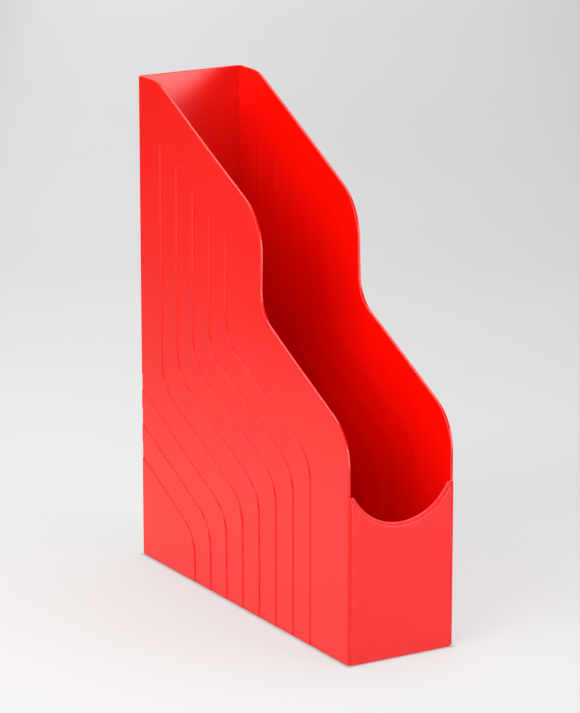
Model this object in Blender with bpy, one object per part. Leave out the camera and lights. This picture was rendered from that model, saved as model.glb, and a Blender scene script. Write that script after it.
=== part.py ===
"""Magazine file holder: five moulded panels that plug together.

Two patterned side panels hold a back, a scooped front and a base between them.  Every panel
between the sides carries thin tongues that sit in blind slots in its neighbours' inner faces.
Constants are in millimetres, the meshes are in metres.  X is the width, Y runs from the front
(-Y) to the back (+Y) and Z is up, with the origin in the middle of the footprint.
"""
import math

import bmesh
import bpy

# --- overall size ---------------------------------------------------------------------------
WIDTH, DEPTH, HEIGHT = 75.0, 258.0, 320.0
SIDE_T = 2.0            # side panel wall
CROSS_T = 2.2           # front and back panel wall
BASE_T = 3.0
GAP = 0.3               # play between neighbouring panels
EDGE_R = 0.5            # rounding of the side panel rims
SOFT = 0.2              # broken edge of the panels in between

# --- rim of the side panels: two slopes joined by upright stretches ---------------------------
SLOPE = math.tan(math.radians(27.0))
UPPER_SLOPE_Z = 266.8   # height of the upper slope above the middle of the footprint
LOWER_SLOPE_Z = 208.3
WAIST_Y = -22.2         # upright stretch between the two slopes
NOSE_Y = -127.5         # upright stretch above the front panel
LEDGE_Z = 105.4
TOP_R, SHOULDER_R, WAIST_R, NOSE_R = 30.0, 37.0, 24.0, 33.0

# --- moulded pattern: parallel bands, recessed outside and faintly raised inside --------------
BANDS = 8
ARCHED = 5              # the front bands end in an arch, the others run off the rear edge
PITCH = 20.5
BAND_W = 10.25
BAND_DEPTH = 0.6
BAND_DRAFT = 0.35
RIDGE_RISE, RIDGE_DRAFT = 0.25, 2.6
LOW_Y, HIGH_Y = -83.1, 20.2     # rear wall of the first band, below and above the slope
BAND_SLOPE_Z = 161.3
ARCH_Z, ARCH_RISE = 239.7, PITCH * SLOPE
LOW_R, HIGH_R = 25.0, 28.0
RIDGE_LOW_Z, RIDGE_BACK_Y = 6.5, 121.5

# --- scoop in the front panel ----------------------------------------------------------------
SCOOP_Z = 123.2         # centre height of the scoop's arc
LIP_R, SKIN_R = 37.7, 39.9      # the inner lip stands higher than the outer skin
LIP_Z, SKIN_Z = 105.5, 102.2    # corner heights of the two layers
SKIN_T = 1.0

# --- tongues and slots -----------------------------------------------------------------------
TONGUE_T = 0.8
TONGUE_OUT = 0.8        # how far a tongue stands out of its panel
SLOT_DEPTH = 0.8

RED = (0.72, 0.012, 0.010, 1.0)
HALF_W = WIDTH / 2
HALF_D = DEPTH / 2
CROSS_HALF = HALF_W - SIDE_T - GAP      # half width of the panels between the sides
SKIN_Y = HALF_D - CROSS_T               # inner face of the front and back panels


def clear_scene():
    for obj in list(bpy.data.objects):
        bpy.data.objects.remove(obj, do_unlink=True)


# --- outlines ---------------------------------------------------------------------------------
def corner(before, at, after, radius, steps):
    """Arc of the given radius that rounds the corner at `at`."""
    ax, ay = before[0] - at[0], before[1] - at[1]
    bx, by = after[0] - at[0], after[1] - at[1]
    la, lb = math.hypot(ax, ay), math.hypot(bx, by)
    ax, ay, bx, by = ax / la, ay / la, bx / lb, by / lb
    half = math.acos(ax * bx + ay * by) / 2
    reach = radius / math.tan(half)
    mx, my = ax + bx, ay + by
    scale = radius / math.sin(half) / math.hypot(mx, my)
    cx, cy = at[0] + mx * scale, at[1] + my * scale
    start = math.atan2(at[1] + ay * reach - cy, at[0] + ax * reach - cx)
    end = math.atan2(at[1] + by * reach - cy, at[0] + bx * reach - cx)
    turn = (end - start + math.pi) % (2 * math.pi) - math.pi
    angles = [start + turn * i / steps for i in range(steps + 1)]
    return [(cx + radius * math.cos(a), cy + radius * math.sin(a)) for a in angles]


def rounded(corners):
    """Closed outline from (y, z, radius, steps) corners."""
    outline = []
    for i, (y, z, radius, steps) in enumerate(corners):
        before = corners[i - 1][:2]
        after = corners[(i + 1) % len(corners)][:2]
        outline += corner(before, (y, z), after, radius, steps)
    return outline


def inset(outline, amount):
    """Move every point of a closed outline inwards, square to its neighbours."""
    n = len(outline)
    area = sum(outline[i - 1][0] * outline[i][1] - outline[i][0] * outline[i - 1][1]
               for i in range(n))
    sign = 1 if area > 0 else -1
    moved = []
    for i, (x, y) in enumerate(outline):
        ax, ay = x - outline[i - 1][0], y - outline[i - 1][1]
        bx, by = outline[(i + 1) % n][0] - x, outline[(i + 1) % n][1] - y
        la, lb = math.hypot(ax, ay), math.hypot(bx, by)
        nx, ny = -(ay / la + by / lb) * sign, (ax / la + bx / lb) * sign
        scale = 2 * amount / (nx * nx + ny * ny)
        moved.append((x + nx * scale, y + ny * scale))
    return moved


def side_outline():
    nose_z = LOWER_SLOPE_Z + SLOPE * NOSE_Y
    waist_low = LOWER_SLOPE_Z + SLOPE * WAIST_Y
    waist_high = UPPER_SLOPE_Z + SLOPE * WAIST_Y
    top_y = (HEIGHT - UPPER_SLOPE_Z) / SLOPE
    return rounded([
        (HALF_D, 0.0, 1.5, 3),
        (HALF_D, HEIGHT, 1.5, 3),
        (top_y, HEIGHT, TOP_R, 5),
        (WAIST_Y, waist_high, SHOULDER_R, 9),
        (WAIST_Y, waist_low, WAIST_R, 8),
        (NOSE_Y, nose_z, NOSE_R, 9),
        (NOSE_Y, LEDGE_Z, 1.6, 3),
        (-HALF_D, LEDGE_Z - 1.8, 1.4, 3),
        (-HALF_D, 0.0, 3.0, 4),
    ])


def band_wall(index, offset, low_z, back_y):
    """One wall of a band, bottom to top; offset is measured from the band's rear wall."""
    rise = offset / math.cos(math.atan(SLOPE))
    slope_z = BAND_SLOPE_Z - index * PITCH * math.sqrt(1 + SLOPE ** 2) + rise
    low_y = LOW_Y + index * PITCH - offset
    high_y = HIGH_Y + index * PITCH - offset
    low = (low_y, slope_z + SLOPE * low_y)
    high = (high_y, slope_z + SLOPE * high_y)
    back = (back_y, slope_z + SLOPE * back_y)
    wall = [(low_y, low_z)]
    if index < ARCHED:
        wall += corner(wall[0], low, high, LOW_R + offset, 7)
        wall += corner(low, high, (high_y, HEIGHT), HIGH_R - offset, 7)
    else:
        wall += corner(wall[0], low, back, LOW_R + offset, 7)
        wall.append(back)
    return wall


def band_outline(index, draft, low_z, back_y):
    rear = band_wall(index, draft, low_z, back_y)
    front = band_wall(index, BAND_W - draft, low_z, back_y)
    arch = []
    if index < ARCHED:
        radius = BAND_W / 2
        mid_y = HIGH_Y + index * PITCH - radius
        mid_z = ARCH_Z + index * ARCH_RISE - radius
        for i in range(9):
            a = math.pi * i / 8
            arch.append((mid_y + (radius - draft) * math.cos(a),
                         mid_z + (radius - draft) * math.sin(a)))
    return rear + arch + front[::-1]


def front_outline(half, floor_z, corner_z, radius):
    span = math.acos((SCOOP_Z - corner_z) / radius)
    scoop = []
    for i in range(25):
        a = span - 2 * span * i / 24
        scoop.append((radius * math.sin(a), SCOOP_Z - radius * math.cos(a)))
    return [(-half, floor_z), (half, floor_z), (half, corner_z)] + scoop + [(-half, corner_z)]


# --- solids -----------------------------------------------------------------------------------
def loft(bm, rings):
    """Close a stack of equal-length rings of (x, y, z) points in millimetres into a solid."""
    rows = [[bm.verts.new([c * 0.001 for c in point]) for point in ring] for ring in rings]
    count = len(rows[0])
    for lower, upper in zip(rows, rows[1:]):
        for i in range(count):
            j = (i + 1) % count
            bm.faces.new((lower[i], lower[j], upper[j], upper[i]))
    bm.faces.new(rows[0][::-1])
    bm.faces.new(rows[-1])


def box(bm, low, high):
    loft(bm, [[(low[0], low[1], z), (high[0], low[1], z), (high[0], high[1], z),
               (low[0], high[1], z)] for z in (low[2], high[2])])


def soft_box(bm, low, high):
    """Box with broken edges all round."""
    x0, y0, z0 = low
    x1, y1, z1 = high
    rings = []
    for z, draw in ((z0, SOFT), (z0 + SOFT, 0.0), (z1 - SOFT, 0.0), (z1, SOFT)):
        rings.append([(x0 + draw, y0 + SOFT, z), (x0 + SOFT, y0 + draw, z),
                      (x1 - SOFT, y0 + draw, z), (x1 - draw, y0 + SOFT, z),
                      (x1 - draw, y1 - SOFT, z), (x1 - SOFT, y1 - draw, z),
                      (x0 + SOFT, y1 - draw, z), (x0 + draw, y1 - SOFT, z)])
    for ring in (rings[0], rings[-1]):
        for i, (x, y, z) in enumerate(ring):
            ring[i] = (min(max(x, x0 + SOFT), x1 - SOFT), min(max(y, y0 + SOFT), y1 - SOFT), z)
    loft(bm, rings)


def solid(name, fill):
    """New object whose mesh is drawn by fill(bm)."""
    bm = bmesh.new()
    fill(bm)
    bmesh.ops.remove_doubles(bm, verts=bm.verts, dist=1e-7)
    bmesh.ops.recalc_face_normals(bm, faces=bm.faces)
    mesh = bpy.data.meshes.new(name)
    bm.to_mesh(mesh)
    bm.free()
    obj = bpy.data.objects.new(name, mesh)
    bpy.context.scene.collection.objects.link(obj)
    return obj


def combine(target, operation, fill):
    """Add or cut the solids drawn by fill(bm) and keep the result as the target's mesh."""
    tool = solid(target.name + "_tool", fill)
    modifier = target.modifiers.new("combine", "BOOLEAN")
    modifier.operation = operation
    modifier.solver = "EXACT"
    modifier.object = tool
    depsgraph = bpy.context.evaluated_depsgraph_get()
    result = bpy.data.meshes.new_from_object(target.evaluated_get(depsgraph))
    target.modifiers.clear()
    target.data = result
    result.name = target.name
    bpy.data.objects.remove(tool, do_unlink=True)


# --- panels -----------------------------------------------------------------------------------
def tongue_band(wall, thickness=TONGUE_T, grow=0.0):
    """Low and high limit of a tongue that lies just inside an outer face at `wall`."""
    inner = wall - CROSS_T + GAP
    return inner - grow, inner + thickness + grow


def side_panel(name, side):
    """side is -1 for the left panel and 1 for the right; depth runs inwards from outside."""
    def at(depth, outline):
        x = side * (HALF_W - depth)
        return [(x, y, z) for y, z in outline]

    def wall(bm):
        outline = side_outline()
        rounding = [(EDGE_R * (1 - math.cos(a)), EDGE_R * (1 - math.sin(a)))
                    for a in (0.0, math.pi / 4, math.pi / 2)]
        rings = [at(depth, inset(outline, draw)) for depth, draw in rounding]
        rings += [at(SIDE_T - depth, inset(outline, draw)) for depth, draw in rounding[::-1]]
        loft(bm, rings)

    def grooves(bm):
        for k in range(BANDS):
            loft(bm, [at(depth, band_outline(k, draft, -4.0, HALF_D + 4.0))
                      for depth, draft in ((-BAND_DEPTH, -BAND_DRAFT), (BAND_DEPTH, BAND_DRAFT))])

    def ridges(bm):
        for k in range(BANDS):
            foot = band_outline(k, 0.1, RIDGE_LOW_Z, RIDGE_BACK_Y)
            crest = band_outline(k, RIDGE_DRAFT, RIDGE_LOW_Z + RIDGE_DRAFT,
                                 RIDGE_BACK_Y - RIDGE_DRAFT)
            loft(bm, [at(SIDE_T - 0.4, foot), at(SIDE_T, foot),
                      at(SIDE_T + RIDGE_RISE, crest)])

    def slots(bm):
        near, far = HALF_W - SIDE_T + SLOT_DEPTH, HALF_W - SIDE_T - 1.0
        x0, x1 = sorted((side * near, side * far))
        lo, hi = tongue_band(HALF_D, grow=GAP)
        box(bm, (x0, lo, 8 - GAP), (x1, hi, 312 + GAP))
        box(bm, (x0, -hi, 8 - GAP), (x1, -lo, 92 + GAP))
        mid = BASE_T / 2
        reach = TONGUE_T / 2 + GAP
        box(bm, (x0, -116 - GAP, mid - reach), (x1, 116 + GAP, mid + reach))

    panel = solid(name, wall)
    combine(panel, "DIFFERENCE", grooves)
    combine(panel, "UNION", ridges)
    combine(panel, "DIFFERENCE", slots)
    return panel


def side_tongues(bm, low_z, high_z, wall_sign):
    """Tongues along the upright edges of the front (-1) or back (1) panel."""
    lo, hi = tongue_band(HALF_D)
    y0, y1 = sorted((wall_sign * lo, wall_sign * hi))
    for side in (-1, 1):
        x0, x1 = sorted((side * (CROSS_HALF - 1), side * (CROSS_HALF + TONGUE_OUT)))
        box(bm, (x0, y0, low_z), (x1, y1, high_z))


def base_slot(bm, wall_sign):
    """Slot in the inner face of the front (-1) or back (1) panel for the base's end tongue."""
    y0, y1 = sorted((wall_sign * (SKIN_Y - 1), wall_sign * (SKIN_Y + SLOT_DEPTH)))
    reach = TONGUE_T / 2 + GAP
    box(bm, (-28 - GAP, y0, BASE_T / 2 - reach), (28 + GAP, y1, BASE_T / 2 + reach))


def front_panel():
    def layer(bm, steps, corner_z, radius):
        rings = []
        for depth, draw in steps:
            outline = front_outline(CROSS_HALF - draw, draw, corner_z - draw, radius + draw)
            rings.append([(x, -HALF_D + depth, z) for x, z in outline])
        loft(bm, rings)

    def skin(bm):
        layer(bm, ((0.0, SOFT), (SOFT, 0.0), (SKIN_T + 0.4, 0.0)), SKIN_Z, SKIN_R)

    def lip(bm):
        layer(bm, ((SKIN_T, 0.0), (CROSS_T - SOFT, 0.0), (CROSS_T, SOFT)), LIP_Z, LIP_R)

    panel = solid("front_panel", skin)
    combine(panel, "UNION", lip)
    combine(panel, "UNION", lambda bm: side_tongues(bm, 8, 92, -1))
    combine(panel, "DIFFERENCE", lambda bm: base_slot(bm, -1))
    return panel


def back_panel():
    panel = solid("back_panel", lambda bm: soft_box(
        bm, (-CROSS_HALF, SKIN_Y, 0), (CROSS_HALF, HALF_D, HEIGHT)))
    combine(panel, "UNION", lambda bm: side_tongues(bm, 8, 312, 1))
    combine(panel, "DIFFERENCE", lambda bm: base_slot(bm, 1))
    return panel


def base_panel():
    half_y = SKIN_Y - GAP
    z0, z1 = (BASE_T - TONGUE_T) / 2, (BASE_T + TONGUE_T) / 2

    def tongues(bm):
        for side in (-1, 1):
            x0, x1 = sorted((side * (CROSS_HALF - 1), side * (CROSS_HALF + TONGUE_OUT)))
            box(bm, (x0, -116, z0), (x1, 116, z1))
            y0, y1 = sorted((side * (half_y - 1), side * (half_y + TONGUE_OUT)))
            box(bm, (-28, y0, z0), (28, y1, z1))

    panel = solid("base_panel", lambda bm: soft_box(
        bm, (-CROSS_HALF, -half_y, 0), (CROSS_HALF, half_y, BASE_T)))
    combine(panel, "UNION", tongues)
    return panel


def finish(obj):
    material = bpy.data.materials.new(obj.name)
    material.use_nodes = True
    shader = material.node_tree.nodes["Principled BSDF"]
    shader.inputs["Base Color"].default_value = RED
    shader.inputs["Roughness"].default_value = 0.38
    shader.inputs["Metallic"].default_value = 0.0
    obj.data.materials.clear()
    obj.data.materials.append(material)
    for face in obj.data.polygons:
        face.material_index = 0
    obj.data.shade_smooth()
    obj.data.set_sharp_from_angle(angle=math.radians(35))


clear_scene()
for built in (side_panel("left_side_panel", -1), side_panel("right_side_panel", 1),
              back_panel(), front_panel(), base_panel()):
    finish(built)
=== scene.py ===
# Looks of the magazine file holder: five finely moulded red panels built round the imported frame.
import math

import bmesh
import bpy
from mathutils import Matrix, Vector


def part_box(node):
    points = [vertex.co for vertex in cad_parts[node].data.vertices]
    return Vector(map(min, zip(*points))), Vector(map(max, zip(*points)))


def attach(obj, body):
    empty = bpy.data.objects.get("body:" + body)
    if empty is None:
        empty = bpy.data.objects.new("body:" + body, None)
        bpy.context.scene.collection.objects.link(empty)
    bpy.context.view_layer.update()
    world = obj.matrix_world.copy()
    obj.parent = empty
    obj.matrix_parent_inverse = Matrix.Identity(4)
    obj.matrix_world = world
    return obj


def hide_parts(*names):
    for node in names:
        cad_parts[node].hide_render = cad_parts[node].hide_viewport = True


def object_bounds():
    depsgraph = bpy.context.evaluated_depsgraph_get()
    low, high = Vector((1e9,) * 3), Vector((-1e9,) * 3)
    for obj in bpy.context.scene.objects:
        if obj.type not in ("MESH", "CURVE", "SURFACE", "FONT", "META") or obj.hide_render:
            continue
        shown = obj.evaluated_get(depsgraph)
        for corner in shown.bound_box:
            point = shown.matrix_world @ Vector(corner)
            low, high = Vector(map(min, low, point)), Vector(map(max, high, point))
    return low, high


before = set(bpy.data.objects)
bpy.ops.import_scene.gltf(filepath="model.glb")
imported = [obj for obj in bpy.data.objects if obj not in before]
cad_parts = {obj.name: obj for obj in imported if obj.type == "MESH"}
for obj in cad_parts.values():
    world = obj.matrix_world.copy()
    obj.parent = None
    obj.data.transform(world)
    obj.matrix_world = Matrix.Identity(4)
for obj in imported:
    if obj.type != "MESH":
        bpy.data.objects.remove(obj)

CAD_LOW, CAD_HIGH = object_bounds()

# Outlines are drawn in millimetres, as in the part's source, and the meshes are in metres.
MM = 0.001

# --- sizes read from the frame ----------------------------------------------------------------
HALF_W = CAD_HIGH.x / MM
HALF_D = CAD_HIGH.y / MM
HEIGHT = CAD_HIGH.z / MM
BASE_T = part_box("base_panel")[1].z / MM
CROSS_T = HALF_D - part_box("back_panel")[0].y / MM      # front and back panel wall

# --- fit between the panels -------------------------------------------------------------------
CAD_GAP = 0.3            # play left between the collision solids
GAP = 0.05               # seam between the panels as pressed together
TONGUE_T = 0.8           # thickness of a tongue
TONGUE_OUT = 0.8         # how far it stands out of its panel
SLOT_DEPTH = 0.8
TONGUE_LOW_Z = 8         # foot of the upright tongues
FRONT_TONGUE_Z, BACK_TONGUE_Z = 92, 312         # and their tops
BASE_TONGUE_X, BASE_TONGUE_Y = 28, 116          # half lengths of the base's end and side tongues
OVERLAP = 1.0            # how far a tool reaches past the face that it adds to or cuts
CAD_CROSS_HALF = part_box("back_panel")[1].x / MM - TONGUE_OUT    # half width between the sides
CROSS_HALF = CAD_CROSS_HALF + CAD_GAP - GAP
SIDE_T = HALF_W - CROSS_HALF - GAP
SKIN_Y = HALF_D - CROSS_T

# --- rim of the side panels -------------------------------------------------------------------
SLOPE = math.tan(math.radians(27.0))
UPPER_SLOPE_Z, LOWER_SLOPE_Z = 266.8, 208.3     # heights of the slopes above the footprint's middle
WAIST_Y, NOSE_Y = -22.2, -127.5                 # upright stretches of the rim
LEDGE_Z, LEDGE_DROP = 105.4, 1.8                # small ledge beside the scoop and how far it slopes
TOP_R, SHOULDER_R, WAIST_R, NOSE_R = 30.0, 37.0, 24.0, 33.0
LEDGE_IN_R, LEDGE_OUT_R = 1.3, 1.4
REAR_R, FOOT_R = 1.5, 3.0                       # rear corners and lower front corner
EDGE_R = 0.6             # rounding of the rims
BOW = 1.5                # how far the thin rims lean in at the shoulder
BOW_Z, BOW_REACH = 238.0, 74.0          # height of the lean and how far above and below it fades

# --- pressed pattern --------------------------------------------------------------------------
BANDS, ARCHED = 8, 5     # the front bands end in an arch, the others run off the rear edge
PITCH, BAND_W = 20.5, 10.25
BAND_DEPTH = 0.6
GROOVE_WALL, RIDGE_WALL = 0.4, 4.6      # width of the rounded wall of a groove and of a ridge
RIDGE_RISE = 0.25        # the bands' faint relief inside
LOW_Y, HIGH_Y = -83.1, 20.2             # rear wall of the first band, below and above the slope
BAND_SLOPE_Z = 161.3                    # its slope's height above the footprint's middle
ARCH_Z, ARCH_RISE = 239.7, PITCH * SLOPE        # top of the first arch and the step to the next
LOW_R, HIGH_R = 25.0, 28.0              # bends of a band's rear wall
RIDGE_LOW_Z, RIDGE_BACK_Y = 6.5, 121.5  # where the relief inside stops
BEND_STEPS, ARCH_STEPS = 16, 24

# --- tools that cut or add --------------------------------------------------------------------
OVERRUN = 4.0            # how far a groove's cutter runs past the panel's edges
PROUD = 0.5              # how far it stands out of the panel's face
ROOT = 0.4               # how deep an added solid is rooted in the one that it joins
LIFT = 0.003             # keeps a tool's faces off the faces that they would share
RIDGE_FIT = 0.99         # about takes the lift off again at the top of a ridge

# --- scoop in the front panel -----------------------------------------------------------------
SCOOP_Z = 123.2          # centre height of the scoop's arc
LIP_R, SKIN_R = 37.7, 39.9       # the inner lip stands higher than the outer skin
LIP_Z, SKIN_Z = 105.5, 102.2     # corner heights of the two layers
LIP_TIP, SKIN_TIP = 1.6, 0.7     # rounding of the horns at the ends of the scoop
SKIN_T = 1.0
HORN_STEPS, SCOOP_STEPS = 7, 24
SOFT = 0.35              # rounding of the panels between the sides
FRONT_R = 1.7            # rounding of the side panels' front edges

GRID = 6.0               # largest face on the side panels, so that they can bow
BROAD = 0.3              # area over perimeter, in mm, of a face too broad to be an edge
WELD = 1e-7              # points closer than this, in metres, are one
SNAP = 2e-6              # and points this close to a cutting plane lie on it
FLAT_TURN, FULL_TURN = math.radians(10), math.radians(14)    # ignored turn of an edge, then its range
SHARP_TURN = math.radians(50)    # edges that turn more than this are shaded sharp


# --- outlines ---------------------------------------------------------------------------------
def corner(before, at, after, radius, steps):
    """Arc of the given radius that rounds the corner at `at`."""
    ax, ay = before[0] - at[0], before[1] - at[1]
    bx, by = after[0] - at[0], after[1] - at[1]
    la, lb = math.hypot(ax, ay), math.hypot(bx, by)
    ax, ay, bx, by = ax / la, ay / la, bx / lb, by / lb
    half = math.acos(ax * bx + ay * by) / 2
    reach = radius / math.tan(half)
    mx, my = ax + bx, ay + by
    scale = radius / math.sin(half) / math.hypot(mx, my)
    cx, cy = at[0] + mx * scale, at[1] + my * scale
    start = math.atan2(at[1] + ay * reach - cy, at[0] + ax * reach - cx)
    end = math.atan2(at[1] + by * reach - cy, at[0] + bx * reach - cx)
    turn = (end - start + math.pi) % (2 * math.pi) - math.pi
    angles = [start + turn * i / steps for i in range(steps + 1)]
    return [(cx + radius * math.cos(a), cy + radius * math.sin(a)) for a in angles]


def rounded(corners):
    """Closed outline from (y, z, radius, steps) corners."""
    outline = []
    for i, (y, z, radius, steps) in enumerate(corners):
        before = corners[i - 1][:2]
        after = corners[(i + 1) % len(corners)][:2]
        outline += corner(before, (y, z), after, radius, steps)
    return outline


def inset(outline, amount):
    """Move every point of a closed outline inwards, square to its neighbours."""
    n = len(outline)
    area = sum(outline[i - 1][0] * outline[i][1] - outline[i][0] * outline[i - 1][1]
               for i in range(n))
    sign = 1 if area > 0 else -1
    moved = []
    for i, (x, y) in enumerate(outline):
        ax, ay = x - outline[i - 1][0], y - outline[i - 1][1]
        bx, by = outline[(i + 1) % n][0] - x, outline[(i + 1) % n][1] - y
        la, lb = math.hypot(ax, ay), math.hypot(bx, by)
        nx, ny = -(ay / la + by / lb) * sign, (ax / la + bx / lb) * sign
        scale = 2 * amount / (nx * nx + ny * ny)
        moved.append((x + nx * scale, y + ny * scale))
    return moved


def side_outline():
    """Outline of a side panel in (y, z), with its stepped rim."""
    nose_z = LOWER_SLOPE_Z + SLOPE * NOSE_Y
    waist_low = LOWER_SLOPE_Z + SLOPE * WAIST_Y
    waist_high = UPPER_SLOPE_Z + SLOPE * WAIST_Y
    top_y = (HEIGHT - UPPER_SLOPE_Z) / SLOPE
    return rounded([
        (HALF_D, 0.0, REAR_R, 5),
        (HALF_D, HEIGHT, REAR_R, 5),
        (top_y, HEIGHT, TOP_R, 12),
        (WAIST_Y, waist_high, SHOULDER_R, 24),
        (WAIST_Y, waist_low, WAIST_R, 20),
        (NOSE_Y, nose_z, NOSE_R, 24),
        (NOSE_Y, LEDGE_Z, LEDGE_IN_R, 5),
        (-HALF_D, LEDGE_Z - LEDGE_DROP, LEDGE_OUT_R, 5),
        (-HALF_D, 0.0, FOOT_R, 8),
    ])


def band_wall(index, offset, low_z, back_y):
    """One wall of a band, bottom to top; offset is measured from the band's rear wall."""
    rise = offset / math.cos(math.atan(SLOPE))
    slope_z = BAND_SLOPE_Z - index * PITCH * math.sqrt(1 + SLOPE ** 2) + rise
    low_y = LOW_Y + index * PITCH - offset
    high_y = HIGH_Y + index * PITCH - offset
    low = (low_y, slope_z + SLOPE * low_y)
    high = (high_y, slope_z + SLOPE * high_y)
    back = (back_y, slope_z + SLOPE * back_y)
    wall = [(low_y, low_z)]
    if index < ARCHED:
        wall += corner(wall[0], low, high, LOW_R + offset, BEND_STEPS)
        wall += corner(low, high, (high_y, HEIGHT), HIGH_R - offset, BEND_STEPS)
    else:
        wall += corner(wall[0], low, back, LOW_R + offset, BEND_STEPS)
        wall.append(back)
    return wall


def band_outline(index, draft, low_z, back_y):
    """Closed outline of a band, drawn in from its walls by draft."""
    rear = band_wall(index, draft, low_z, back_y)
    front = band_wall(index, BAND_W - draft, low_z, back_y)
    arch = []
    if index < ARCHED:
        radius = BAND_W / 2
        mid_y = HIGH_Y + index * PITCH - radius
        mid_z = ARCH_Z + index * ARCH_RISE - radius
        for i in range(ARCH_STEPS + 1):
            a = math.pi * i / ARCH_STEPS
            arch.append((mid_y + (radius - draft) * math.cos(a),
                         mid_z + (radius - draft) * math.sin(a)))
    return rear + arch + front[::-1]


def front_outline(half, floor_z, corner_z, radius, tip):
    """Outline of the front panel with its scoop, whose two horns are rounded."""
    def on_scoop(angle):
        return radius * math.sin(angle), SCOOP_Z - radius * math.cos(angle)

    span = math.acos((SCOOP_Z - corner_z) / radius)
    ahead = on_scoop(span * 0.98)
    horn = corner((half, corner_z), on_scoop(span), ahead, tip, HORN_STEPS)
    span = math.asin(horn[-1][0] / radius)
    right = [(half, floor_z), (half, corner_z)] + horn
    scoop = [on_scoop(span - span * i / SCOOP_STEPS) for i in range(1, 2 * SCOOP_STEPS)]
    return right + scoop + [(-x, z) for x, z in right[::-1]]


def quarter(radius, steps=4):
    """(depth, draw) pairs of a quarter-round edge, from the face to the flank."""
    angles = [math.pi / 2 * i / steps for i in range(steps + 1)]
    return [(radius * (1 - math.cos(a)), radius * (1 - math.sin(a))) for a in angles]


def swell(width, height, steps=9):
    """(height, draft) pairs of a soft S-shaped wall that rises from 0 to height."""
    pairs = []
    for i in range(steps + 1):
        t = i / steps
        pairs.append((height * t * t * (3 - 2 * t), width * (t - 0.5)))
    return pairs


# --- meshes -----------------------------------------------------------------------------------
def loft(bm, rings):
    """Close a stack of equal-length rings of (x, y, z) points in millimetres into a solid."""
    rows = [[bm.verts.new([c * MM for c in point]) for point in ring] for ring in rings]
    count = len(rows[0])
    for lower, upper in zip(rows, rows[1:]):
        for i in range(count):
            j = (i + 1) % count
            bm.faces.new((lower[i], lower[j], upper[j], upper[i]))
    bm.faces.new(rows[0][::-1])
    bm.faces.new(rows[-1])


def mirrored(sign, near, far):
    """Low and high limit of a stretch on the side of the middle that sign gives."""
    return sorted((sign * near, sign * far))


def box(bm, low, high):
    """Square-edged box between two corners in millimetres."""
    loft(bm, [[(low[0], low[1], z), (high[0], low[1], z), (high[0], high[1], z),
               (low[0], high[1], z)] for z in (low[2], high[2])])


def soft_box(bm, low, high, radius):
    """Box with rounded edges all round."""
    made = bmesh.new()
    box(made, low, high)
    bmesh.ops.recalc_face_normals(made, faces=made.faces)
    bmesh.ops.bevel(made, geom=made.edges[:], offset=radius * MM, segments=4, profile=0.5,
                    affect="EDGES")
    mesh = bpy.data.meshes.new("soft_box")
    made.to_mesh(mesh)
    made.free()
    bm.from_mesh(mesh)
    bpy.data.meshes.remove(mesh)


def solid(name, fill):
    """New object whose mesh is drawn by fill(bm)."""
    bm = bmesh.new()
    fill(bm)
    bmesh.ops.remove_doubles(bm, verts=bm.verts, dist=WELD)
    bmesh.ops.recalc_face_normals(bm, faces=bm.faces)
    mesh = bpy.data.meshes.new(name)
    bm.to_mesh(mesh)
    bm.free()
    obj = bpy.data.objects.new(name, mesh)
    bpy.context.scene.collection.objects.link(obj)
    return obj


def combine(target, operation, fill):
    """Add or cut the solids drawn by fill(bm) and keep the result as the target's mesh."""
    tool = solid(target.name + "_tool", fill)
    modifier = target.modifiers.new("combine", "BOOLEAN")
    modifier.operation = operation
    modifier.solver = "EXACT"
    modifier.object = tool
    depsgraph = bpy.context.evaluated_depsgraph_get()
    result = bpy.data.meshes.new_from_object(target.evaluated_get(depsgraph))
    target.modifiers.clear()
    target.data = result
    result.name = target.name
    bpy.data.objects.remove(tool, do_unlink=True)


def slice_up(bm, step):
    """Cut the mesh along a grid of upright and level planes."""
    for axis, low, high in ((1, -HALF_D, HALF_D), (2, 0.0, HEIGHT)):
        count = math.ceil((high - low) / step)
        normal = [0.0, 0.0, 0.0]
        normal[axis] = 1.0
        for i in range(1, count):
            point = [0.0, 0.0, 0.0]
            point[axis] = (low + (high - low) * i / count) * MM
            bmesh.ops.bisect_plane(bm, geom=bm.verts[:] + bm.edges[:] + bm.faces[:],
                                   plane_co=point, plane_no=normal, dist=SNAP)


def bow(bm, side):
    """Lean the free rim inwards round the shoulder, fading out upwards, downwards and to the back."""
    for vert in bm.verts:
        y, z = vert.co.y / MM, vert.co.z / MM
        upright = abs(z - BOW_Z) / BOW_REACH
        if upright < 1:
            along = min((HALF_D - y) / (HALF_D - WAIST_Y), 1.0)
            lean = BOW * math.cos(upright * math.pi / 2) ** 2 * along ** 1.5
            vert.co.x -= side * lean * MM


def round_front(bm):
    """Round the outer front edge of a side panel over nearly its whole wall."""
    for vert in bm.verts:
        short = max(FRONT_R - (HALF_W - abs(vert.co.x) / MM), 0.0)
        back = FRONT_R - math.sqrt(FRONT_R ** 2 - min(short, FRONT_R) ** 2)
        vert.co.y = max(vert.co.y, (back - HALF_D) * MM)


def distance_to(outline, y, z):
    """Distance in millimetres from a point to a closed outline."""
    nearest = math.inf
    for i, (by, bz) in enumerate(outline):
        ay, az = outline[i - 1]
        along_y, along_z = by - ay, bz - az
        length2 = along_y ** 2 + along_z ** 2
        t = min(max(((y - ay) * along_y + (z - az) * along_z) / length2, 0.0), 1.0)
        nearest = min(nearest, math.hypot(y - ay - along_y * t, z - az - along_z * t))
    return nearest


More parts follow.
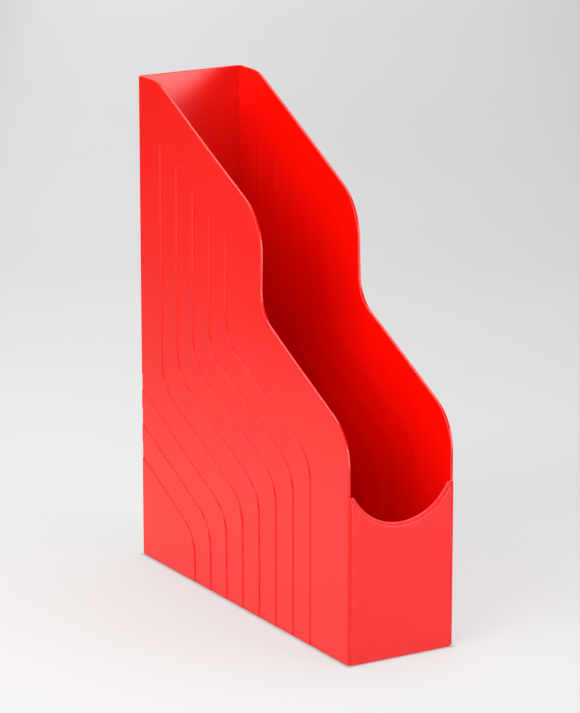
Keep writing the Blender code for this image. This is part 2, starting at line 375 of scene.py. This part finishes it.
def mark_edges(bm, outline):
    """Store how sharply the surface turns at each point: above 0 on outer edges, below in corners.

    Broad faces stay at 0, and so does everything away from the outline where one is given.
    """
    bm.normal_update()
    layer = bm.verts.layers.float.new("edge")
    for vert in bm.verts:
        if outline and distance_to(outline, vert.co.y / MM, vert.co.z / MM) > EDGE_R * 1.5:
            continue
        if any(f.calc_area() > BROAD * MM * f.calc_perimeter() for f in vert.link_faces):
            continue
        turn = 0.0
        for edge in vert.link_edges:
            if len(edge.link_faces) == 2:
                angle = edge.calc_face_angle_signed(0.0)
                turn = angle if abs(angle) > abs(turn) else turn
        size = min(max(abs(turn) - FLAT_TURN, 0.0) / FULL_TURN, 1.0)
        vert[layer] = math.copysign(size, turn)


def dress(obj, nodes, material, reshape=None, outline=None):
    """Final mesh work, shading, material and frame bookkeeping of one panel."""
    bm = bmesh.new()
    bm.from_mesh(obj.data)
    if reshape:
        reshape(bm)
    bmesh.ops.dissolve_degenerate(bm, dist=WELD, edges=bm.edges)
    mark_edges(bm, outline)
    bm.to_mesh(obj.data)
    bm.free()
    obj.data.materials.clear()
    obj.data.materials.append(material)
    for face in obj.data.polygons:
        face.material_index = 0
    obj.data.shade_smooth()
    obj.data.set_sharp_from_angle(angle=SHARP_TURN)
    weighted = obj.modifiers.new("weighted_normals", "WEIGHTED_NORMAL")
    weighted.mode = "FACE_AREA"
    weighted.keep_sharp = True
    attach(obj, "root")
    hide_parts(*nodes)


# --- panels -----------------------------------------------------------------------------------
def tongue_band(grow=0.0):
    """Low and high limit of a tongue that lies just inside the front or back outer face."""
    inner = SKIN_Y + GAP
    return inner - grow, inner + TONGUE_T + grow


def side_panel(name, side):
    """side is -1 for the left panel and 1 for the right; depth runs inwards from outside."""
    def at(depth, outline):
        x = side * (HALF_W - depth)
        return [(x, y, z) for y, z in outline]

    def wall(bm):
        outline = side_outline()
        edge = quarter(EDGE_R)
        rings = [at(depth, inset(outline, draw)) for depth, draw in edge]
        rings += [at(SIDE_T - depth, inset(outline, draw)) for depth, draw in edge[::-1]]
        loft(bm, rings)

    def grooves(bm):
        walls = swell(GROOVE_WALL, BAND_DEPTH)
        low_z, back_y = -OVERRUN, HALF_D + OVERRUN
        for k in range(BANDS):
            rings = [at(-PROUD, band_outline(k, walls[0][1], low_z, back_y))]
            rings += [at(rise + LIFT, band_outline(k, draft, low_z, back_y))
                      for rise, draft in walls]
            loft(bm, rings)

    def ridges(bm):
        walls = swell(RIDGE_WALL, RIDGE_RISE)
        for k in range(BANDS):
            inwards = [draft + RIDGE_WALL / 2 for _, draft in walls]
            outlines = [band_outline(k, inward, RIDGE_LOW_Z + inward, RIDGE_BACK_Y - inward)
                        for inward in inwards]
            rings = [at(SIDE_T - ROOT, outlines[0])]
            rings += [at(SIDE_T + LIFT + rise * RIDGE_FIT, outline)
                      for (rise, _), outline in zip(walls, outlines)]
            loft(bm, rings)

    def slots(bm):
        x0, x1 = mirrored(side, HALF_W - SIDE_T + SLOT_DEPTH, HALF_W - SIDE_T - OVERLAP)
        lo, hi = tongue_band(GAP)
        box(bm, (x0, lo, TONGUE_LOW_Z - GAP), (x1, hi, BACK_TONGUE_Z + GAP))
        box(bm, (x0, -hi, TONGUE_LOW_Z - GAP), (x1, -lo, FRONT_TONGUE_Z + GAP))
        mid = BASE_T / 2
        reach = TONGUE_T / 2 + GAP
        box(bm, (x0, -BASE_TONGUE_Y - GAP, mid - reach), (x1, BASE_TONGUE_Y + GAP, mid + reach))

    def reshape(bm):
        slice_up(bm, GRID)
        round_front(bm)
        bow(bm, side)

    panel = solid(name + "_shell", wall)
    combine(panel, "DIFFERENCE", grooves)
    combine(panel, "UNION", ridges)
    combine(panel, "DIFFERENCE", slots)
    dress(panel, [name], moulded_red(name), reshape, side_outline())


def side_tongues(bm, high_z, wall_sign):
    """Tongues along the upright edges of the front (-1) or back (1) panel."""
    lo, hi = tongue_band()
    y0, y1 = mirrored(wall_sign, lo, hi)
    for side in (-1, 1):
        x0, x1 = mirrored(side, CROSS_HALF - OVERLAP, CROSS_HALF + TONGUE_OUT)
        box(bm, (x0, y0, TONGUE_LOW_Z), (x1, y1, high_z))


def base_slot(bm, wall_sign):
    """Slot in the inner face of the front (-1) or back (1) panel for the base's end tongue."""
    y0, y1 = mirrored(wall_sign, SKIN_Y - OVERLAP, SKIN_Y + SLOT_DEPTH)
    mid = BASE_T / 2
    reach = TONGUE_T / 2 + GAP
    box(bm, (-BASE_TONGUE_X - GAP, y0, mid - reach), (BASE_TONGUE_X + GAP, y1, mid + reach))


def front_panel():
    """Low front of two layers: an outer skin and, behind it, a higher lip."""
    def layer(bm, steps, corner_z, radius, tip):
        rings = []
        for depth, draw in steps:
            outline = front_outline(CROSS_HALF - draw, draw, corner_z - draw, radius + draw, tip)
            rings.append([(x, -HALF_D + depth, z) for x, z in outline])
        loft(bm, rings)

    def skin(bm):
        layer(bm, quarter(SOFT) + [(SKIN_T + ROOT, 0.0)], SKIN_Z, SKIN_R, SKIN_TIP)

    def lip(bm):
        front = [(SKIN_T + depth, draw) for depth, draw in quarter(SOFT)]
        rear = [(CROSS_T - depth, draw) for depth, draw in quarter(SOFT)[::-1]]
        layer(bm, front + rear, LIP_Z, LIP_R, LIP_TIP)

    panel = solid("front_panel_shell", skin)
    combine(panel, "UNION", lip)
    combine(panel, "UNION", lambda bm: side_tongues(bm, FRONT_TONGUE_Z, -1))
    combine(panel, "DIFFERENCE", lambda bm: base_slot(bm, -1))
    # Painted sheen in the front's lifted red, and a painted highlight along its much paler edges.
    red = moulded_red("front_panel", ROSE_SHEEN_FRESH, ROSE_SHEEN_DEEP, ROSE_EDGE_HIGHLIGHT, 0.8)
    dress(panel, ["front_panel"], red)


def back_panel():
    """Plain full-height back between the sides."""
    panel = solid("back_panel_shell", lambda bm: soft_box(
        bm, (-CROSS_HALF, SKIN_Y, 0), (CROSS_HALF, HALF_D, HEIGHT), SOFT))
    combine(panel, "UNION", lambda bm: side_tongues(bm, BACK_TONGUE_Z, 1))
    combine(panel, "DIFFERENCE", lambda bm: base_slot(bm, 1))
    dress(panel, ["back_panel"], moulded_red("back_panel"))


def base_panel():
    """Plain floor between the four walls, with a tongue on every edge."""
    half_y = SKIN_Y - GAP
    z0, z1 = (BASE_T - TONGUE_T) / 2, (BASE_T + TONGUE_T) / 2

    def tongues(bm):
        for side in (-1, 1):
            x0, x1 = mirrored(side, CROSS_HALF - OVERLAP, CROSS_HALF + TONGUE_OUT)
            box(bm, (x0, -BASE_TONGUE_Y, z0), (x1, BASE_TONGUE_Y, z1))
            y0, y1 = mirrored(side, half_y - OVERLAP, half_y + TONGUE_OUT)
            box(bm, (-BASE_TONGUE_X, y0, z0), (BASE_TONGUE_X, y1, z1))

    panel = solid("base_panel_shell", lambda bm: soft_box(
        bm, (-CROSS_HALF, -half_y, 0), (CROSS_HALF, half_y, BASE_T), SOFT))
    combine(panel, "UNION", tongues)
    dress(panel, ["base_panel"], moulded_red("base_panel"))


# --- material ---------------------------------------------------------------------------------
class Graph:
    """Small helper that adds and links shader nodes."""

    def __init__(self, tree):
        self.tree = tree

    def add(self, kind, settings=None, **links):
        node = self.tree.nodes.new(kind)
        for name, value in (settings or {}).items():
            setattr(node, name, value)
        for name, value in links.items():
            self.feed(node.inputs[name.replace("_", " ")], value)
        return node

    def feed(self, socket, value):
        if isinstance(value, bpy.types.NodeSocket):
            self.tree.links.new(value, socket)
        else:
            socket.default_value = value

    def noise(self, where, scale, detail=3.0, roughness=0.5):
        node = self.add("ShaderNodeTexNoise", Vector=where, Scale=scale, Detail=detail,
                        Roughness=roughness)
        return node.outputs["Fac"]

    def between(self, value, low, high, to_low=0.0, to_high=1.0, ease="LINEAR"):
        """Map low..high onto to_low..to_high, held level outside."""
        node = self.add("ShaderNodeMapRange", {"interpolation_type": ease}, Value=value,
                        From_Min=low, From_Max=high, To_Min=to_low, To_Max=to_high)
        return node.outputs["Result"]

    def math(self, operation, a, b):
        node = self.tree.nodes.new("ShaderNodeMath")
        node.operation = operation
        self.feed(node.inputs[0], a)
        self.feed(node.inputs[1], b)
        return node.outputs[0]

    def mix(self, amount, a, b):
        node = self.tree.nodes.new("ShaderNodeMix")
        node.data_type = "RGBA"
        self.feed(node.inputs["Factor"], amount)
        self.feed(node.inputs[6], a)
        self.feed(node.inputs[7], b)
        return node.outputs[2]


RED, RED_DEEP = (0.85, 0.0040, 0.0006, 1.0), (0.80, 0.0026, 0.0006, 1.0)
ROSE_SHEEN_FRESH, ROSE_SHEEN_DEEP = (0.82, 0.0150, 0.0180, 1.0), (0.78, 0.0120, 0.0150, 1.0)    # front's red, lifted towards pink and blue as painted sheen
# Painted highlight: the front panel's rounded edges, the scoop's rims among them, take this much
# paler red.
ROSE_EDGE_HIGHLIGHT = (0.96, 0.110, 0.095, 1.0)
RED_WORN = (0.92, 0.035, 0.026, 1.0)
# Painted shade: concave creases and corners take this darker red.
RED_CREASE_SHADE = (0.66, 0.001, 0.001, 1.0)
CREASE_SHADE_SHARE = 0.35             # how much of that painted shade the concave creases take
SATIN = 0.17             # roughness of the cleanest spots
PLASTIC_IOR = 1.46


def moulded_red(name, fresh=RED, deep=RED_DEEP, wear_and_highlight_colour=RED_WORN, wear_and_highlight_share=0.35):
    """Satin moulded polystyrene: cloudy pigment, fine mould grain, faint rub marks, edges paled for
    wear and, on the front, for a painted highlight, and concave creases darkened as painted shade.
    """
    material = bpy.data.materials.new(name + "_red")
    material.use_nodes = True
    graph = Graph(material.node_tree)
    shader = material.node_tree.nodes["Principled BSDF"]
    adder = graph.add("ShaderNodeVectorMath", {"operation": "ADD"})
    graph.feed(adder.inputs[0], graph.add("ShaderNodeTexCoord").outputs["Object"])
    adder.inputs[1].default_value = [0.37 * len(name), 0.11 * len(name), 0.0]
    shift = adder.outputs["Vector"]      # the noise moves with the length of the name

    clouds = graph.between(graph.noise(shift, 16.0, 4.0), 0.3, 0.7)
    specks = graph.between(graph.noise(shift, 900.0, 2.0), 0.35, 0.65)
    tone = graph.math("ADD", graph.math("MULTIPLY", clouds, 0.55),
                      graph.math("MULTIPLY", specks, 0.18))
    colour = graph.mix(tone, fresh, deep)

    edge = graph.add("ShaderNodeAttribute", {"attribute_name": "edge"}).outputs["Fac"]
    patchy_wear_and_highlight = graph.between(graph.noise(shift, 120.0, 4.0, 0.6), 0.42, 0.62, 0.25, 1.0)
    # Edges paled: wear on most panels, a painted highlight on the front panel.
    wear_and_highlight_mask = graph.math("MULTIPLY", graph.between(edge, 0.0, 1.0), patchy_wear_and_highlight)
    colour = graph.mix(graph.math("MULTIPLY", wear_and_highlight_mask, wear_and_highlight_share), colour, wear_and_highlight_colour)
    # painted shade darkens the concave creases
    crease_shade_mask = graph.between(edge, 0.0, -1.0)
    colour = graph.mix(graph.math("MULTIPLY", crease_shade_mask, CREASE_SHADE_SHARE), colour, RED_CREASE_SHADE)
    graph.feed(shader.inputs["Base Color"], colour)

    smears = graph.between(graph.noise(shift, 34.0, 5.0, 0.65), 0.35, 0.75, 0.0, 0.08)
    gloss = graph.math("ADD", smears, graph.math("MULTIPLY", specks, 0.03))
    gloss = graph.math("ADD", gloss, graph.math("MULTIPLY", wear_and_highlight_mask, 0.06))
    graph.feed(shader.inputs["Roughness"], graph.math("ADD", gloss, SATIN))

    grain = graph.noise(shift, 2600.0, 2.0)
    peel = graph.noise(shift, 210.0, 3.0)
    sink = graph.noise(shift, 26.0, 2.0)
    relief = graph.math("ADD", graph.math("MULTIPLY", grain, 0.03),
                        graph.math("ADD", graph.math("MULTIPLY", peel, 0.12),
                                   graph.math("MULTIPLY", sink, 1.4)))
    bump = graph.add("ShaderNodeBump", Height=relief, Strength=0.35, Distance=0.0002)
    graph.feed(shader.inputs["Normal"], bump.outputs["Normal"])
    shader.inputs["IOR"].default_value = PLASTIC_IOR
    shader.inputs["Metallic"].default_value = 0.0
    return material


# --- studio, in metres ------------------------------------------------------------------------
VIEW_AZIMUTH, VIEW_ELEVATION = 30.759, 14.996      # degrees left of the front, above level
VIEW_TARGET = (-0.0018, 0.0, 0.1593)
VIEW_DISTANCE = 2.3936
LENS, SENSOR = 193.33, 36.0                        # millimetres

# The paper itself glows, painted light in a strip along the view; X runs across the view here and Y
# away from it.
GLOW_NEAR, GLOW_MID, GLOW_FAR = 0.60, 0.52, 0.65
NEAR_Y, MID_Y, FAR_Y = -0.3, 0.9, 2.2              # where the strip has these strengths
GLOW_FRONT = 1.3                                   # painted glow added well in front of the object, which the front panel reflects as sheen
FRONT_FULL_Y, FRONT_END_Y = -0.8, -0.45
GLOW_HALF = 0.55                                   # the strip's half width
RIGHT_SHADOW_FADE = (-0.15, 0.3, 1.02, 0.86)              # painted soft shadow, the glow dims to the right; from X to X, from factor to factor
# The glow dims to the left as well, so that the left panel reflects less of it.
LEFT_FADE = (-0.46, -0.3, 0.78, 1.0)
SHADE = 0.0035                                     # how far the painted shadow at the object's foot reaches
PAPER_DARK, PAPER_PALE = (0.21, 0.212, 0.21, 1.0), (0.23, 0.232, 0.23, 1.0)
FLOOR_DROP = 0.0002                                # keeps the paper clear of the underside


def paper(name):
    """Matt pale studio paper with a faint tooth, glowing in a painted strip of light along the view.
    """
    material = bpy.data.materials.new(name)
    material.use_nodes = True
    graph = Graph(material.node_tree)
    shader = material.node_tree.nodes["Principled BSDF"]
    place = graph.add("ShaderNodeTexCoord").outputs["Object"]
    shade = graph.between(graph.noise(place, 3.0, 2.0), 0.3, 0.7)
    graph.feed(shader.inputs["Base Color"], graph.mix(shade, PAPER_DARK, PAPER_PALE))
    across = graph.add("ShaderNodeMapping", {"vector_type": "TEXTURE"}, Vector=place)
    across.inputs["Rotation"].default_value = (0.0, 0.0, math.radians(-VIEW_AZIMUTH))
    split = graph.add("ShaderNodeSeparateXYZ", Vector=across.outputs["Vector"]).outputs
    off_centre = graph.math("ABSOLUTE", split["X"], 0.0)
    centred = graph.between(off_centre, GLOW_HALF * 0.35, GLOW_HALF * 2.0, 1.0, 0.05, "SMOOTHSTEP")
    along = graph.math("ADD", graph.between(split["Y"], NEAR_Y, MID_Y, GLOW_NEAR, GLOW_MID),
                       graph.between(split["Y"], MID_Y, FAR_Y, 0.0, GLOW_FAR - GLOW_MID))
    front = graph.between(split["Y"], FRONT_FULL_Y, FRONT_END_Y, GLOW_FRONT, 0.0)
    along = graph.math("ADD", along, front)
    for fade in (RIGHT_SHADOW_FADE, LEFT_FADE):
        along = graph.math("MULTIPLY", along, graph.between(split["X"], *fade))

    plain = graph.add("ShaderNodeSeparateXYZ", Vector=place).outputs
    squares = []
    for axis, half in (("X", HALF_W), ("Y", HALF_D)):
        past = graph.math("SUBTRACT", graph.math("ABSOLUTE", plain[axis], 0.0), half * MM)
        squares.append(graph.math("POWER", graph.math("MAXIMUM", past, 0.0), 2.0))
    away = graph.math("SQRT", graph.math("ADD", *squares), 0.0)
    # Painted shadow: the glow is taken out under the object's footprint and fades back in just past
    # it.
    clear = graph.between(away, -SHADE, SHADE, ease="SMOOTHSTEP")
    glow = graph.math("MULTIPLY", graph.math("MULTIPLY", centred, along), clear)
    graph.feed(shader.inputs["Emission Strength"], glow)
    shader.inputs["Emission Color"].default_value = (1.0, 1.0, 1.0, 1.0)
    tooth = graph.noise(place, 700.0, 2.0)
    bump = graph.add("ShaderNodeBump", Height=tooth, Strength=0.1, Distance=0.0001)
    graph.feed(shader.inputs["Normal"], bump.outputs["Normal"])
    shader.inputs["Roughness"].default_value = 0.9
    shader.inputs["Specular IOR Level"].default_value = 0.15
    return material


def backdrop():
    """Floor that sweeps up into a wall well behind the object."""
    near, bend, radius, top, half = -6.0, 4.0, 1.5, 4.0, 8.0
    steps = 12
    profile = [(near, 0.0), (bend, 0.0)]
    profile += [(bend + radius * math.sin(a), radius * (1 - math.cos(a)))
                for a in [math.pi / 2 * i / steps for i in range(1, steps + 1)]]
    profile.append((bend + radius, top))
    bm = bmesh.new()
    turn = math.radians(-VIEW_AZIMUTH)
    rows = []
    for across in (-half, half):
        row = []
        for along, z in profile:
            x = across * math.cos(turn) - along * math.sin(turn)
            y = across * math.sin(turn) + along * math.cos(turn)
            row.append(bm.verts.new((x, y, z - FLOOR_DROP)))
        rows.append(row)
    for i in range(len(profile) - 1):
        bm.faces.new((rows[0][i], rows[1][i], rows[1][i + 1], rows[0][i + 1]))
    mesh = bpy.data.meshes.new("backdrop")
    bm.to_mesh(mesh)
    bm.free()
    mesh.shade_smooth()
    mesh.materials.append(paper("studio_paper"))
    obj = bpy.data.objects.new("backdrop", mesh)
    bpy.context.scene.collection.objects.link(obj)


AIR_LIGHT, AIR_SEEN = 0.22, 0.64     # light the studio's air gives and how pale it looks


def softbox(name, place, target, size, radiance, colour):
    """Square area light that faces target; radiance is its brightness as seen."""
    light = bpy.data.lights.new(name, "AREA")
    light.shape = "SQUARE"
    light.size = size
    light.energy = radiance * math.pi * size * size
    light.color = colour
    obj = bpy.data.objects.new(name, light)
    obj.location = place
    obj.rotation_mode = "QUATERNION"
    obj.rotation_quaternion = (Vector(place) - Vector(target)).to_track_quat("Z", "Y")
    obj.visible_camera = False
    bpy.context.scene.collection.objects.link(obj)


def studio():
    """Backdrop, pale air and four soft lights."""
    backdrop()
    world = bpy.data.worlds.new("studio_air")
    world.use_nodes = True
    air = world.node_tree.nodes["Background"]
    air.inputs["Color"].default_value = (0.98, 1.0, 1.0, 1.0)
    graph = Graph(world.node_tree)
    seen = graph.add("ShaderNodeLightPath").outputs["Is Camera Ray"]
    graph.feed(air.inputs["Strength"], graph.between(seen, 0.0, 1.0, AIR_LIGHT, AIR_SEEN))
    bpy.context.scene.world = world
    middle = (0.0, 0.0, 0.15)
    softbox("key_light", (-1.9, -0.62, 1.33), middle, 1.8, 5.5, (1.0, 0.98, 0.95))
    softbox("top_light", (0.25, 0.18, 1.5), middle, 1.3, 3.2, (1.0, 1.0, 1.0))
    softbox("front_light", (0.52, -0.80, 0.27), (0.0, 0.0, 0.27), 0.5, 6.2, (0.95, 0.98, 1.0))
    softbox("low_light", (0.36, -0.62, 0.004), (0.28, -0.48, 1.0), 0.62, 1.2, (0.72, 0.90, 1.0))
    bpy.context.scene.view_settings.view_transform = "Standard"


def camera():
    """Long lens that looks a little down on the left front corner."""
    azimuth, elevation = math.radians(VIEW_AZIMUTH), math.radians(VIEW_ELEVATION)
    back = Vector((-math.sin(azimuth) * math.cos(elevation),
                   -math.cos(azimuth) * math.cos(elevation), math.sin(elevation)))
    data = bpy.data.cameras.new("camera")
    data.lens = LENS
    data.sensor_width = SENSOR
    obj = bpy.data.objects.new("camera", data)
    obj.location = Vector(VIEW_TARGET) + back * VIEW_DISTANCE
    obj.rotation_mode = "QUATERNION"
    obj.rotation_quaternion = back.to_track_quat("Z", "Y")
    bpy.context.scene.collection.objects.link(obj)
    bpy.context.scene.camera = obj


camera()
studio()
side_panel("left_side_panel", -1)
side_panel("right_side_panel", 1)
back_panel()
front_panel()
base_panel()
